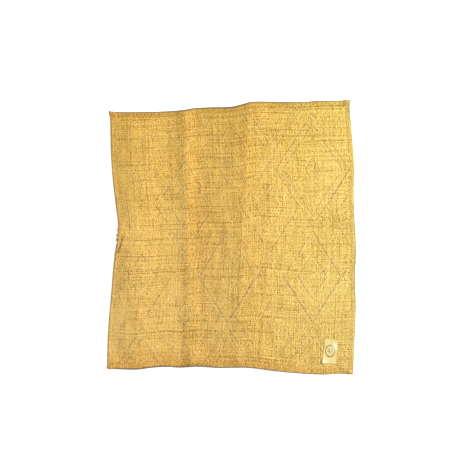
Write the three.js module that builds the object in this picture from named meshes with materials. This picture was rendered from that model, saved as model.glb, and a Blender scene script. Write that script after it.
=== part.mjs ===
// A panel of hand-woven raffia cloth lying on a table with its reverse side up.
// All four edges are turned over once onto the upper side as hems, the cloth keeps a few soft
// waves from having been rolled, and a small cream label lies on its lower right corner.
// Millimetres, +Z up. +X runs along the wefts and +Y along the warps, towards the upper edge.

import * as THREE from "three";

// Driving sizes of the cloth. The upper face steps down from the hem's thickness to the single
// cloth's over HEM_STEP.
const CLOTH_THICKNESS = 1.2;
const HEM_WIDTH = 12.5;
const HEM_THICKNESS = 2.4;
const HEM_STEP = 1.5;

// How a creased ridge falls away from its crest: 1 would be a straight slope.
const CREASE_POWER = 1.6;

// How finely the solids follow the waves and the outline. The outermost HEM_LINES grid lines on
// each side lie in the hem.
const COLUMNS = 42;
const ROWS = 46;
const HEM_LINES = 2;
const LABEL_COLUMNS = 6;
const LABEL_ROWS = 10;

// The four corners as the cloth lies, measured from the middle of the panel.
const CORNERS = {
  lowerLeft: { x: -285.5, y: -300 },
  lowerRight: { x: 278.5, y: -313.5 },
  upperLeft: { x: -282, y: 288 },
  upperRight: { x: 272.5, y: 314.5 },
};

// Each side as it bows away from the straight line between its corners.
// at: share of the way along the side, from the left or from below. out: outwards.
const LEFT_SIDE = [
  { at: 0, out: 0 },
  { at: 0.1, out: -0.2 },
  { at: 0.2, out: -3.5 },
  { at: 0.3, out: -8.3 },
  { at: 0.4, out: -12.8 },
  { at: 0.46, out: -17 },
  { at: 0.5, out: -21.9 },
  { at: 0.56, out: -23 },
  { at: 0.62, out: -18.5 },
  { at: 0.7, out: -12.5 },
  { at: 0.8, out: -6.8 },
  { at: 0.9, out: -4.2 },
  { at: 0.97, out: -3.4 },
  { at: 1, out: 0 },
];
const RIGHT_SIDE = [
  { at: 0, out: 0 },
  { at: 0.09, out: 3 },
  { at: 0.24, out: 7.8 },
  { at: 0.36, out: 6.6 },
  { at: 0.45, out: 9.7 },
  { at: 0.6, out: 6.1 },
  { at: 0.67, out: 5.5 },
  { at: 0.74, out: 7.4 },
  { at: 0.82, out: 5.2 },
  { at: 0.91, out: 1 },
  { at: 0.98, out: -2 },
  { at: 1, out: 0 },
];
const LOWER_SIDE = [
  { at: 0, out: 0 },
  { at: 0.03, out: 1.2 },
  { at: 0.12, out: 1.4 },
  { at: 0.185, out: -3.5 },
  { at: 0.25, out: -5.9 },
  { at: 0.29, out: -4.8 },
  { at: 0.37, out: -8.5 },
  { at: 0.45, out: -7 },
  { at: 0.575, out: -8.8 },
  { at: 0.67, out: -3.1 },
  { at: 0.77, out: 1.4 },
  { at: 0.87, out: 3.3 },
  { at: 0.95, out: 0.2 },
  { at: 1, out: 0 },
];
const UPPER_SIDE = [
  { at: 0, out: 0 },
  { at: 0.02, out: -1.5 },
  { at: 0.12, out: -4.1 },
  { at: 0.2, out: -5.3 },
  { at: 0.31, out: -4.3 },
  { at: 0.35, out: -1.2 },
  { at: 0.42, out: -0.9 },
  { at: 0.51, out: -2.6 },
  { at: 0.55, out: 1 },
  { at: 0.59, out: 5.6 },
  { at: 0.68, out: 4.5 },
  { at: 0.8, out: 0.9 },
  { at: 0.86, out: 2.2 },
  { at: 0.95, out: 0.5 },
  { at: 1, out: 0 },
];

// Long ridges that run from the upper edge to the lower one, with the cloth on the table
// between them and along its right side. x: where the crest meets each edge. left, right: the
// reach of each flank. crease: 0 for a round crest and 1 for a sharp one.
const RIDGES = [
  { xUpper: -228, xLower: -226, left: 60, right: 88, upper: 4, middle: 6.5, lower: 5, crease: 0 },
  { xUpper: -108, xLower: -95, left: 28, right: 30, upper: 4, middle: 2.6, lower: 2.2, crease: 0.2 },
  { xUpper: 36, xLower: 14, left: 108, right: 200, upper: 10.5, middle: 8, lower: 6.5, crease: 0.6 },
];

// Places where an edge or a corner stands a little off the table.
const LIFTS = [
  { x: -290, y: 296, reach: 60, height: 5 },
  { x: -292, y: -306, reach: 62, height: 4.5 },
  { x: 284, y: -318, reach: 48, height: 2.5 },
  { x: 280, y: 320, reach: 44, height: 2.5 },
  { x: -70, y: -318, reach: 66, height: 4.5 },
  { x: 34, y: 322, reach: 60, height: 3.5 },
  { x: -278, y: 8, reach: 52, height: 3.2 },
];

// The label, as it lies on the cloth. turn is clockwise, and curl is how far its lower left
// corner stands up.
const LABEL = {
  x: 227.5,
  y: -263.5,
  width: 31.5,
  height: 55.5,
  thickness: 1,
  turn: 5.5,
  curl: 4,
  curlReach: 17,
  gap: 0.3,
};

const RAFFIA = new THREE.MeshStandardMaterial({ color: 0xdfb45e, roughness: 0.72, metalness: 0 });
const LABEL_CARD = new THREE.MeshStandardMaterial({ color: 0xf3e7b4, roughness: 0.6, metalness: 0 });

// A smooth curve through the rows of a side's table.
function bowOf(side, at) {
  let i = 0;
  while (i < side.length - 2 && at > side[i + 1].at) {
    i++;
  }
  const from = side[i];
  const to = side[i + 1];
  const before = side[Math.max(i - 1, 0)];
  const after = side[Math.min(i + 2, side.length - 1)];
  const span = to.at - from.at;
  const leave = ((to.out - before.out) / (to.at - before.at)) * span;
  const arrive = ((after.out - from.out) / (after.at - from.at)) * span;
  const t = THREE.MathUtils.clamp((at - from.at) / span, 0, 1);
  const t2 = t * t;
  const t3 = t2 * t;
  return (
    (2 * t3 - 3 * t2 + 1) * from.out +
    (t3 - 2 * t2 + t) * leave +
    (3 * t2 - 2 * t3) * to.out +
    (t3 - t2) * arrive
  );
}

// A point of one side: along the straight line between two corners, then outwards.
function sidePoint(start, end, side, at, outward) {
  const line = new THREE.Vector2(
    THREE.MathUtils.lerp(start.x, end.x, at),
    THREE.MathUtils.lerp(start.y, end.y, at),
  );
  return line.addScaledVector(outward, bowOf(side, at));
}

const LEFTWARDS = new THREE.Vector2(-1, 0);
const RIGHTWARDS = new THREE.Vector2(1, 0);
const DOWNWARDS = new THREE.Vector2(0, -1);
const UPWARDS = new THREE.Vector2(0, 1);

// Where a point of the panel lies: u from left to right, v from the lower edge to the upper.
// The four bowed sides are blended across the panel, less the corners that they share.
function planPoint(u, v) {
  const { lowerLeft, lowerRight, upperLeft, upperRight } = CORNERS;
  const left = sidePoint(lowerLeft, upperLeft, LEFT_SIDE, v, LEFTWARDS);
  const right = sidePoint(lowerRight, upperRight, RIGHT_SIDE, v, RIGHTWARDS);
  const lower = sidePoint(lowerLeft, lowerRight, LOWER_SIDE, u, DOWNWARDS);
  const upper = sidePoint(upperLeft, upperRight, UPPER_SIDE, u, UPWARDS);
  const across = left.lerp(right, u);
  const along = lower.lerp(upper, v);
  const cornersX = THREE.MathUtils.lerp(
    THREE.MathUtils.lerp(lowerLeft.x, lowerRight.x, u),
    THREE.MathUtils.lerp(upperLeft.x, upperRight.x, u),
    v,
  );
  const cornersY = THREE.MathUtils.lerp(
    THREE.MathUtils.lerp(lowerLeft.y, lowerRight.y, u),
    THREE.MathUtils.lerp(upperLeft.y, upperRight.y, u),
    v,
  );
  return new THREE.Vector2(across.x + along.x - cornersX, across.y + along.y - cornersY);
}

// A ridge's height, from its values at the upper edge, the middle and the lower edge.
function crestHeight(ridge, share) {
  return share > 0
    ? THREE.MathUtils.lerp(ridge.middle, ridge.upper, share)
    : THREE.MathUtils.lerp(ridge.middle, ridge.lower, -share);
}

// How high the underside of the cloth stands off the table.
function liftAt(x, y) {
  const halfLength = (CORNERS.upperRight.y - CORNERS.lowerRight.y) / 2;
  const share = THREE.MathUtils.clamp(y / halfLength, -1, 1);
  let height = 0;
  for (const ridge of RIDGES) {
    const crest = THREE.MathUtils.lerp(ridge.xLower, ridge.xUpper, (share + 1) / 2);
    const reach = x < crest ? ridge.left : ridge.right;
    const away = Math.min(Math.abs(x - crest) / reach, 1);
    const round = Math.cos((away * Math.PI) / 2) ** 2;
    const sharp = (1 - away) ** CREASE_POWER;
    height += crestHeight(ridge, share) * THREE.MathUtils.lerp(round, sharp, ridge.crease);
  }
  for (const lift of LIFTS) {
    const away = Math.min(Math.hypot(x - lift.x, y - lift.y) / lift.reach, 1);
    height += lift.height * (1 - away * away) ** 2;
  }
  return height;
}

// Evenly spaced grid lines, but with one on each side of the step at a hem's inner edge.
function gridLine(index, count, length) {
  const hem = HEM_WIDTH / length;
  const step = HEM_STEP / length;
  const edges = [0, hem, hem + step];
  if (index < edges.length) return edges[index];
  if (count - index < edges.length) return 1 - edges[count - index];
  const inner = (index - edges.length + 1) / (count - 2 * (edges.length - 1));
  return THREE.MathUtils.lerp(hem + step, 1 - hem - step, inner);
}

// Closed slab with the panel's outline, waves and turned hems.
function clothGeometry() {
  const width = CORNERS.lowerRight.x - CORNERS.lowerLeft.x;
  const length = CORNERS.upperRight.y - CORNERS.lowerRight.y;
  const slab = new THREE.BoxGeometry(1, 1, 1, COLUMNS, ROWS, 1);
  const points = slab.getAttribute("position");
  const place = new THREE.Vector3();
  for (let i = 0; i < points.count; i++) {
    place.fromBufferAttribute(points, i);
    const column = Math.round((place.x + 0.5) * COLUMNS);
    const row = Math.round((place.y + 0.5) * ROWS);
    const plan = planPoint(gridLine(column, COLUMNS, width), gridLine(row, ROWS, length));
    const inHem =
      Math.min(column, COLUMNS - column) < HEM_LINES || Math.min(row, ROWS - row) < HEM_LINES;
    const thickness = inHem ? HEM_THICKNESS : CLOTH_THICKNESS;
    const underside = liftAt(plan.x, plan.y);
    points.setXYZ(i, plan.x, plan.y, place.z > 0 ? underside + thickness : underside);
  }
  slab.computeVertexNormals();
  return slab;
}

// The label: a thin slab that follows the cloth under it, its lower left corner curled up.
function labelGeometry() {
  const slab = new THREE.BoxGeometry(LABEL.width, LABEL.height, 1, LABEL_COLUMNS, LABEL_ROWS, 1);
  const turn = THREE.MathUtils.degToRad(-LABEL.turn);
  const points = slab.getAttribute("position");
  const place = new THREE.Vector3();
  const corner = new THREE.Vector2(-LABEL.width / 2, -LABEL.height / 2);
  for (let i = 0; i < points.count; i++) {
    place.fromBufferAttribute(points, i);
    const fromCorner = Math.hypot(place.x - corner.x, place.y - corner.y);
    const curl = LABEL.curl * (1 - Math.min(fromCorner / LABEL.curlReach, 1)) ** 2;
    const x = LABEL.x + place.x * Math.cos(turn) - place.y * Math.sin(turn);
    const y = LABEL.y + place.x * Math.sin(turn) + place.y * Math.cos(turn);
    const underside = liftAt(x, y) + CLOTH_THICKNESS + LABEL.gap + curl;
    points.setXYZ(i, x, y, place.z > 0 ? underside + LABEL.thickness : underside);
  }
  slab.computeVertexNormals();
  return slab;
}

function namedMesh(name, geometry, material) {
  const mesh = new THREE.Mesh(geometry, material);
  mesh.name = name;
  return mesh;
}

const panel = new THREE.Group();
const cloth = namedMesh("cloth", clothGeometry(), RAFFIA);
const label = namedMesh("label", labelGeometry(), LABEL_CARD);
panel.add(cloth, label);

// The origin is on the table, under the middle of the cloth's outline.
const outline = new THREE.Box3().setFromObject(cloth);
const middle = outline.getCenter(new THREE.Vector3());
panel.position.set(-middle.x, -middle.y, -outline.min.z);

export default panel;
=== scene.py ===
"""A panel of hand-woven raffia cloth that lies on a table with its reverse side up.

The panel is one sheet of plain weave whose four edges are folded over onto the upper side as
hems. On it lie single dark and pale strands of the weave, the broken stitches of the embroidered
lozenges, the hem stitches, some frayed ends and a small cream label. Sizes are in millimetres
and are turned to metres where a mesh is made. Places on the cloth are given in one of two ways:
as a plan place, x and y from the middle of the panel as it lies, or as a panel place, s along
the wefts and t along the warps from the lower left corner.
"""

import logging
import math
from dataclasses import dataclass, field
from enum import Enum
from typing import Any, Sequence

import bpy
import numpy as np
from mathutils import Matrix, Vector


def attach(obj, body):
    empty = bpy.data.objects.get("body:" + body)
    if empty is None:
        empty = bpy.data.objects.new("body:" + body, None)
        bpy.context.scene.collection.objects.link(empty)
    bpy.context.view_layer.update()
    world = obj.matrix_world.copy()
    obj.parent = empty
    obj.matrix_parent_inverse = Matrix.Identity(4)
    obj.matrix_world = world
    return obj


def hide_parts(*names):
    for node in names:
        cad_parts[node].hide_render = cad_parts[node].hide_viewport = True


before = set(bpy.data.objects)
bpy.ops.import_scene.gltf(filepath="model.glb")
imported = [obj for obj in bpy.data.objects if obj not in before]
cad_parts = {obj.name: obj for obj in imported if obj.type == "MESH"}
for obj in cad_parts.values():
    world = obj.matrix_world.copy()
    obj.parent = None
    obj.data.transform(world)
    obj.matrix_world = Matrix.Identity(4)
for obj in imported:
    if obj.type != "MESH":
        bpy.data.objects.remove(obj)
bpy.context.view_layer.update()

Array = np.ndarray
Colour = tuple[float, float, float, float]

MM = 0.001
UV_NAME = "OFBake"
TONE_NAME = "tone"
BODY = "root"
LOG = logging.getLogger("raffia")


def tint(red: int, green: int, blue: int) -> Colour:
    """Give the linear colour of a screen colour.

    Args:
        red: red from 0 to 255.
        green: green from 0 to 255.
        blue: blue from 0 to 255.

    Returns:
        The linear colour with an alpha of 1.
    """
    def linear(level: int) -> float:
        """Give the linear value of one screen level."""
        share = level / 255
        return share / 12.92 if share <= 0.04045 else ((share + 0.055) / 1.055) ** 2.4

    return linear(red), linear(green), linear(blue), 1.0


def smooth_step(value: Array, start: float, end: float) -> Array:
    """Give 0 before start, 1 after end and a smooth rise between them.

    Args:
        value: the values to look up.
        start: where the rise starts.
        end: where the rise ends.

    Returns:
        The rise at each value.
    """
    share = np.clip((value - start) / (end - start), 0, 1)
    return share * share * (3 - 2 * share)


class Wire:
    """A value that a shader node gives out, so that shader maths reads as Python sums."""

    def __init__(self, shop: "NodeShop", socket: bpy.types.NodeSocket) -> None:
        """Keep the output socket and the shop that makes nodes beside it."""
        self.shop = shop
        self.socket = socket

    def sum_node(self, operation: str, *values: "Wire | float") -> "Wire":
        """Add a Math node.

        Args:
            operation: the Math node's operation.
            values: its values in order.

        Returns:
            The node's result.
        """
        inputs = dict(enumerate(values))
        return self.shop.node("ShaderNodeMath", {"operation": operation}, inputs)

    def __add__(self, other: "Wire | float") -> "Wire":
        """Add another value."""
        return self.sum_node("ADD", self, other)

    __radd__ = __add__

    def __sub__(self, other: "Wire | float") -> "Wire":
        """Take another value away."""
        return self.sum_node("SUBTRACT", self, other)

    def __rsub__(self, other: "Wire | float") -> "Wire":
        """Take this value away from another."""
        return self.sum_node("SUBTRACT", other, self)

    def __mul__(self, other: "Wire | float") -> "Wire":
        """Multiply by another value."""
        return self.sum_node("MULTIPLY", self, other)

    __rmul__ = __mul__

    def __truediv__(self, other: "Wire | float") -> "Wire":
        """Divide by another value."""
        return self.sum_node("DIVIDE", self, other)

    def __rtruediv__(self, other: "Wire | float") -> "Wire":
        """Divide another value by this one."""
        return self.sum_node("DIVIDE", other, self)

    def __pow__(self, other: "Wire | float") -> "Wire":
        """Raise to a power."""
        return self.sum_node("POWER", self, other)

    def __abs__(self) -> "Wire":
        """Drop the sign."""
        return self.sum_node("ABSOLUTE", self)

    def __gt__(self, other: "Wire | float") -> "Wire":
        """Give 1 where this value is the greater one."""
        return self.sum_node("GREATER_THAN", self, other)

    def __lt__(self, other: "Wire | float") -> "Wire":
        """Give 1 where this value is the smaller one."""
        return self.sum_node("LESS_THAN", self, other)

    def floor(self) -> "Wire":
        """Round down."""
        return self.sum_node("FLOOR", self)

    def fraction(self) -> "Wire":
        """Keep what is left after rounding down."""
        return self.sum_node("FRACT", self)

    def least(self, other: "Wire | float") -> "Wire":
        """Keep the smaller of two values."""
        return self.sum_node("MINIMUM", self, other)

    def most(self, other: "Wire | float") -> "Wire":
        """Keep the greater of two values."""
        return self.sum_node("MAXIMUM", self, other)

    def rise(self, start: float, end: float) -> "Wire":
        """Give 0 before start, 1 after end and a smooth rise between; start may be the greater.

        Args:
            start: the value that gives 0.
            end: the value that gives 1.

        Returns:
            The rise.
        """
        settings = {"interpolation_type": "SMOOTHSTEP"}
        low, high = min(start, end), max(start, end)
        inputs = {"Value": self, "From Min": low, "From Max": high}
        rising = self.shop.node("ShaderNodeMapRange", settings, inputs)
        return rising if start < end else 1 - rising

    def between(self, low: float, high: float) -> "Wire":
        """Hold the value between two bounds."""
        return self.most(low).least(high)


class NodeShop:
    """Makes a material and the nodes in it."""

    def __init__(self, name: str) -> None:
        """Start a material whose shader is a Principled BSDF."""
        self.material = bpy.data.materials.new(name)
        self.material.use_nodes = True
        self.tree = self.material.node_tree
        self.shader = self.tree.nodes["Principled BSDF"]

    def node(
        self, kind: str, settings: dict[str, Any], inputs: dict[Any, Any], output: int | str = 0
    ) -> Wire:
        """Add a node of any kind.

        Args:
            kind: the node's type.
            settings: its properties, set first; "stops" holds a ramp's places and colours.
            inputs: values or wires by socket name or number.
            output: the socket to give back.

        Returns:
            The chosen output.
        """
        made = self.tree.nodes.new(kind)
        for name, value in settings.items():
            if name == "stops":
                self.set_stops(made.color_ramp, value)
            else:
                setattr(made, name, value)
        for name, value in inputs.items():
            if isinstance(value, Wire):
                self.tree.links.new(value.socket, made.inputs[name])
            else:
                made.inputs[name].default_value = value
        return Wire(self, made.outputs[output])

    @staticmethod
    def set_stops(ramp: bpy.types.ColorRamp, stops: Sequence[tuple[float, Colour]]) -> None:
        """Put colours along a ramp.

        Args:
            ramp: the ramp of a new Color Ramp node.
            stops: places from 0 to 1, each with its colour.
        """
        while len(ramp.elements) < len(stops):
            ramp.elements.new(1.0)
        for element, (place, colour) in zip(ramp.elements, stops):
            element.position = place
            element.color = colour

    def split(self, vector: Wire) -> tuple[Wire, Wire, Wire]:
        """Give the three parts of a vector."""
        apart = self.node("ShaderNodeSeparateXYZ", {}, {0: vector})
        outputs = apart.socket.node.outputs
        return Wire(self, outputs[0]), Wire(self, outputs[1]), Wire(self, outputs[2])

    def point(self, x: Wire | float, y: Wire | float, z: Wire | float = 0.0) -> Wire:
        """Join three values to a vector."""
        return self.node("ShaderNodeCombineXYZ", {}, {0: x, 1: y, 2: z})

    def noise(self, place: Wire, detail: float = 1.0, roughness: float = 0.5) -> Wire:
        """Give a noise about 0, from about -1 to 1.

        Args:
            place: the vector to look up, in units of the noise's grain.
            detail: how many finer layers are added.
            roughness: how strong the finer layers are.

        Returns:
            The noise.
        """
        inputs = {"Vector": place, "Scale": 1.0, "Detail": detail, "Roughness": roughness}
        return (self.node("ShaderNodeTexNoise", {}, inputs) - 0.5) * 3.2

    def chance(self, place: Wire) -> Wire:
        """Give a random value from 0 to 1 for each whole place."""
        return self.node("ShaderNodeTexWhiteNoise", {"noise_dimensions": "3D"}, {"Vector": place})

    def ramp(self, value: Wire, stops: Sequence[tuple[float, Colour]]) -> Wire:
        """Turn a value into a colour by a ramp."""
        return self.node("ShaderNodeValToRGB", {"stops": stops}, {0: value})

    def blend(
        self, share: Wire | float, start: Wire | Colour, end: Wire | Colour, kind: str = "MIX"
    ) -> Wire:
        """Mix two colours.

        Args:
            share: 0 for the first colour and 1 for the second.
            start: the first colour.
            end: the second colour.
            kind: how the second colour acts, such as MIX or MULTIPLY.

        Returns:
            The mixed colour.
        """
        settings = {"data_type": "RGBA", "blend_type": kind}
        return self.node("ShaderNodeMix", settings, {0: share, 6: start, 7: end}, 2)

    def bump(self, height: Wire, depth: float) -> Wire:
        """Turn a height from 0 to 1 into a normal.

        Args:
            height: the relief.
            depth: what a height of 1 stands for, in millimetres.

        Returns:
            The bumped normal.
        """
        inputs = {"Strength": 1.0, "Distance": depth * MM, "Height": height}
        return self.node("ShaderNodeBump", {}, inputs)

    def finish(
        self,
        colour: Wire,
        roughness: Wire | float,
        normal: Wire | None = None,
        shine: float = 0.5,
    ) -> bpy.types.Material:
        """Feed the shader.

        Args:
            colour: the base colour.
            roughness: how dull the surface is.
            normal: the bumped normal, if any.
            shine: the specular level.

        Returns:
            The finished material.
        """
        self.tree.links.new(colour.socket, self.shader.inputs["Base Color"])
        if isinstance(roughness, Wire):
            self.tree.links.new(roughness.socket, self.shader.inputs["Roughness"])
        else:
            self.shader.inputs["Roughness"].default_value = roughness
        if normal is not None:
            self.tree.links.new(normal.socket, self.shader.inputs["Normal"])
        self.shader.inputs["Specular IOR Level"].default_value = shine
        return self.material


@dataclass(frozen=True)
class Side:
    """One side of the panel, as it bows out of the straight line between its corners.

    Each row has the share of the way along, from the left or from below, and the way outwards.
    """

    rows: tuple[tuple[float, float], ...]

    def bow(self, share: Array) -> Array:
        """Give the way outwards.

        Args:
            share: shares of the way along the side.

        Returns:
            The smooth bow at each share.
        """
        at, out = np.array(self.rows).T
        slope = np.empty_like(out)
        slope[1:-1] = (out[2:] - out[:-2]) / (at[2:] - at[:-2])
        slope[0] = (out[1] - out[0]) / (at[1] - at[0])
        slope[-1] = (out[-1] - out[-2]) / (at[-1] - at[-2])
        i = np.clip(np.searchsorted(at, share) - 1, 0, len(at) - 2)
        span = at[i + 1] - at[i]
        t = np.clip((share - at[i]) / span, 0, 1)
        return (
            (2 * t**3 - 3 * t**2 + 1) * out[i]
            + (t**3 - 2 * t**2 + t) * slope[i] * span
            + (3 * t**2 - 2 * t**3) * out[i + 1]
            + (t**3 - t**2) * slope[i + 1] * span
        )


LEFT_SIDE = Side((
    (0, 0), (0.1, -0.2), (0.2, -3.5), (0.3, -8.3), (0.4, -12.8), (0.46, -17), (0.5, -21.9),
    (0.56, -23), (0.62, -18.5), (0.7, -12.5), (0.8, -6.8), (0.9, -4.2), (0.97, -3.4), (1, 0),
))
RIGHT_SIDE = Side((
    (0, 0), (0.09, 3), (0.24, 7.8), (0.36, 6.6), (0.45, 9.7), (0.6, 6.1), (0.67, 5.5),
    (0.74, 7.4), (0.82, 5.2), (0.91, 1), (0.98, -2), (1, 0),
))
LOWER_SIDE = Side((
    (0, 0), (0.03, 1.2), (0.12, 1.4), (0.185, -3.5), (0.25, -5.9), (0.29, -4.8), (0.37, -8.5),
    (0.45, -7), (0.575, -8.8), (0.67, -3.1), (0.77, 1.4), (0.87, 3.3), (0.95, 0.2), (1, 0),
))
UPPER_SIDE = Side((
    (0, 0), (0.02, -1.5), (0.12, -4.1), (0.2, -5.3), (0.31, -4.3), (0.35, -1.2), (0.42, -0.9),
    (0.51, -2.6), (0.55, 1), (0.59, 5.6), (0.68, 4.5), (0.8, 0.9), (0.86, 2.2), (0.95, 0.5),
    (1, 0),
))


@dataclass(frozen=True)
class Ridge:
    """A long soft wave from the upper edge to the lower one, left from having been rolled."""

    x_upper: float
    x_lower: float
    left: float
    right: float
    upper: float
    middle: float
    lower: float
    crease: float

    def height(self, x: Array, share: Array) -> Array:
        """Give how high the wave lifts the cloth.

        Args:
            x: plan places.
            share: -1 at the lower edge and 1 at the upper edge.

        Returns:
            The lift at each place.
        """
        crest = self.x_lower + (self.x_upper - self.x_lower) * (share + 1) / 2
        away = np.minimum(np.abs(x - crest) / np.where(x < crest, self.left, self.right), 1)
        end = np.where(share > 0, self.upper, self.lower)
        tall = self.middle + (end - self.middle) * np.abs(share)
        soft = np.cos(away * math.pi / 2) ** 2
        sharp = (1 - away) ** CREASE_POWER
        return tall * (soft + (sharp - soft) * self.crease)


CREASE_POWER = 1.6
RIDGES = (
    Ridge(-228, -226, 60, 88, 4, 6.5, 5, 0),
    Ridge(-108, -95, 28, 30, 4, 2.6, 2.2, 0.2),
    Ridge(36, 14, 108, 200, 10.5, 8, 6.5, 0.6),
)


@dataclass(frozen=True)
class Lift:
    """A place where an edge or a corner stands a little off the table."""

    x: float
    y: float
    reach: float
    height: float


LIFTS = (
    Lift(-290, 296, 60, 5),
    Lift(-292, -306, 62, 4.5),
    Lift(284, -318, 48, 2.5),
    Lift(280, 320, 44, 2.5),
    Lift(-70, -318, 66, 4.5),
    Lift(34, 322, 60, 3.5),
    Lift(-278, 8, 52, 3.2),
)


@dataclass(frozen=True)
class Crease:
    """A soft fold line on the cloth, raised by rise or sunk where rise is below 0."""

    x0: float
    y0: float
    x1: float
    y1: float
    width: float
    rise: float


# The main creases: the rolled cloth's crests down the length, and shallow troughs across it.
CREASES = (
    Crease(36, 312, 29, 120, 10, 0.5),
    Crease(29, 120, 15, -300, 12, 0.3),
    Crease(-44, 300, -34, 150, 10, 0.5),
    Crease(-22, 300, -14, 130, 9, -0.4),
    Crease(-147, 300, -146, 100, 7, -0.5),
    Crease(-128, 296, -130, 60, 9, 0.35),
    Crease(-108, 80, -98, -180, 8, 0.2),
    Crease(-262, 22, -271, -40, 5, 1.5),
    Crease(-257, 14, -214, -12, 7, 0.8),
    Crease(-262, -34, -196, -46, 8, -0.6),
    Crease(-250, 58, -150, 40, 14, 0.5),
    Crease(-240, -60, 30, -66, 12, -0.45),
    Crease(-250, -84, 60, -88, 10, 0.4),
    Crease(-160, 26, 40, 22, 11, -0.35),
    Crease(-250, -228, -40, -240, 12, -0.5),
    Crease(-230, -262, 120, -268, 13, 0.45),
    Crease(120, -200, 250, -196, 16, 0.4),
    Crease(96, 292, 250, 286, 11, 0.5),
    Crease(70, 270, 240, 262, 12, -0.4),
    Crease(150, 60, 276, 66, 18, 0.4),
    Crease(256, 210, 262, -60, 14, 0.5),
    Crease(210, -226, 256, -300, 12, 0.5),
    Crease(-276, 276, -250, 250, 9, 0.9),
    Crease(-280, -286, -246, -262, 10, 0.9),
)


@dataclass
class Panel:
    """How the cloth lies: its outline on the table and how high each place stands.

    The corners are plan places, and breadth and length are the mean sizes of the panel between
    its folded edges. The ripples are the small unevenness of hand-woven cloth.
    """

    lower_left: tuple[float, float] = (-285.5, -300)
    lower_right: tuple[float, float] = (278.5, -313.5)
    upper_left: tuple[float, float] = (-282, 288)
    upper_right: tuple[float, float] = (272.5, 314.5)
    breadth: float = 556
    length: float = 608
    cloth: float = 1.0
    rest_gap: float = 0.25
    ripple_count: int = 56
    ripple_rise: float = 0.3
    ripple_seed: int = 11
    shift: tuple[float, float] = field(init=False)

    def __post_init__(self) -> None:
        """Draw the ripples and find the middle of the outline."""
        draw = np.random.default_rng(self.ripple_seed)
        wave = draw.uniform(13, 70, self.ripple_count)
        turn = draw.uniform(0, math.pi, self.ripple_count)
        self.waves = np.stack([
            2 * math.pi / wave * np.cos(turn),
            2 * math.pi / wave * np.sin(turn),
            draw.uniform(0, 2 * math.pi, self.ripple_count),
            np.sqrt(wave / wave.mean()),
        ])
        along = np.linspace(0, 1, 2001)
        none, full = np.zeros_like(along), np.ones_like(along)
        sides = [(along, none), (along, full), (none, along), (full, along)]
        rim = np.concatenate([np.stack(self.plan(u, v), 1) for u, v in sides])
        self.shift = tuple(-(rim.min(0) + rim.max(0)) / 2)

    def plan(self, u: Array, v: Array) -> tuple[Array, Array]:
        """Blend the four bowed sides across the panel.

        Args:
            u: shares of the way from the left side to the right one.
            v: shares of the way from the lower side to the upper one.

        Returns:
            The plan places.
        """
        (ax, ay), (bx, by) = self.lower_left, self.lower_right
        (cx, cy), (dx, dy) = self.upper_left, self.upper_right
        x = (1 - u) * (ax + (cx - ax) * v) + u * (bx + (dx - bx) * v)
        y = (1 - u) * (ay + (cy - ay) * v) + u * (by + (dy - by) * v)
        x = x - (1 - u) * LEFT_SIDE.bow(v) + u * RIGHT_SIDE.bow(v)
        y = y - (1 - v) * LOWER_SIDE.bow(u) + v * UPPER_SIDE.bow(u)
        return x, y

    def lie(self, s: Array, t: Array) -> tuple[Array, Array]:
        """Turn panel places into plan places."""
        return self.plan(s / self.breadth, t / self.length)

    def height(self, x: Array, y: Array) -> Array:
        """Give how high the underside of the cloth stands.

        Args:
            x: plan places.
            y: plan places.

        Returns:
            The height above the table.
        """
        half = (self.upper_right[1] - self.lower_right[1]) / 2
        share = np.clip(y / half, -1, 1)
        high = sum(ridge.height(x, share) for ridge in RIDGES)
        for lift in LIFTS:
            away = np.minimum(np.hypot(x - lift.x, y - lift.y) / lift.reach, 1)
            high = high + lift.height * (1 - away * away) ** 2
        return np.maximum(high + self.relief(x, y), 0) + self.rest_gap

    def relief(self, x: Array, y: Array) -> Array:
        """Give the creases and ripples, which lie on the main waves.

        Args:
            x: plan places.
            y: plan places.

        Returns:
            The relief, which may be below 0.
        """
        high = np.zeros(np.shape(x))
        for crease in CREASES:
            run = np.array([crease.x1 - crease.x0, crease.y1 - crease.y0])
            along = ((x - crease.x0) * run[0] + (y - crease.y0) * run[1]) / (run @ run)
            ends = np.clip(np.minimum(along, 1 - along) * 4, 0, 1)
            along = np.clip(along, 0, 1)
            away = np.hypot(x - crease.x0 - along * run[0], y - crease.y0 - along * run[1])
            high = high + crease.rise * ends * np.exp(-((away / crease.width) ** 2))
        kx, ky, phase, strength = self.waves
        scale = self.ripple_rise / math.sqrt(self.ripple_count / 2)
        for k in range(self.ripple_count):
            high = high + scale * strength[k] * np.sin(kx[k] * x + ky[k] * y + phase[k])
        return high

    def inside(self, x: Array, y: Array, spare: float) -> Array:
        """Tell which plan places lie on the cloth, clear of its four edges.

        Args:
            x: plan places.
            y: plan places.
            spare: how far from each edge they have to be.

        Returns:
            True or False for each place.
        """
        shares = np.linspace(0, 1, 240)
        across, up = shares * self.breadth, shares * self.length
        low_x, low_y = self.lie(across, 0 * across)
        high_x, high_y = self.lie(across, 0 * across + self.length)
        left_x, left_y = self.lie(0 * up, up)
        right_x, right_y = self.lie(0 * up + self.breadth, up)
        return (
            (y > np.interp(x, low_x, low_y) + spare)
            & (y < np.interp(x, high_x, high_y) - spare)
            & (x > np.interp(y, left_y, left_x) + spare)
            & (x < np.interp(y, right_y, right_x) - spare)
        )

    def top(self, x: Array, y: Array) -> Array:
        """Give the height of the single cloth's upper face."""
        return self.height(x, y) + self.cloth

    def to_frame(self, x: Array, y: Array, z: Array) -> Array:
        """Turn plan places and heights into metres in the shared frame."""
        return np.stack([x + self.shift[0], y + self.shift[1], z], -1) * MM


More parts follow.
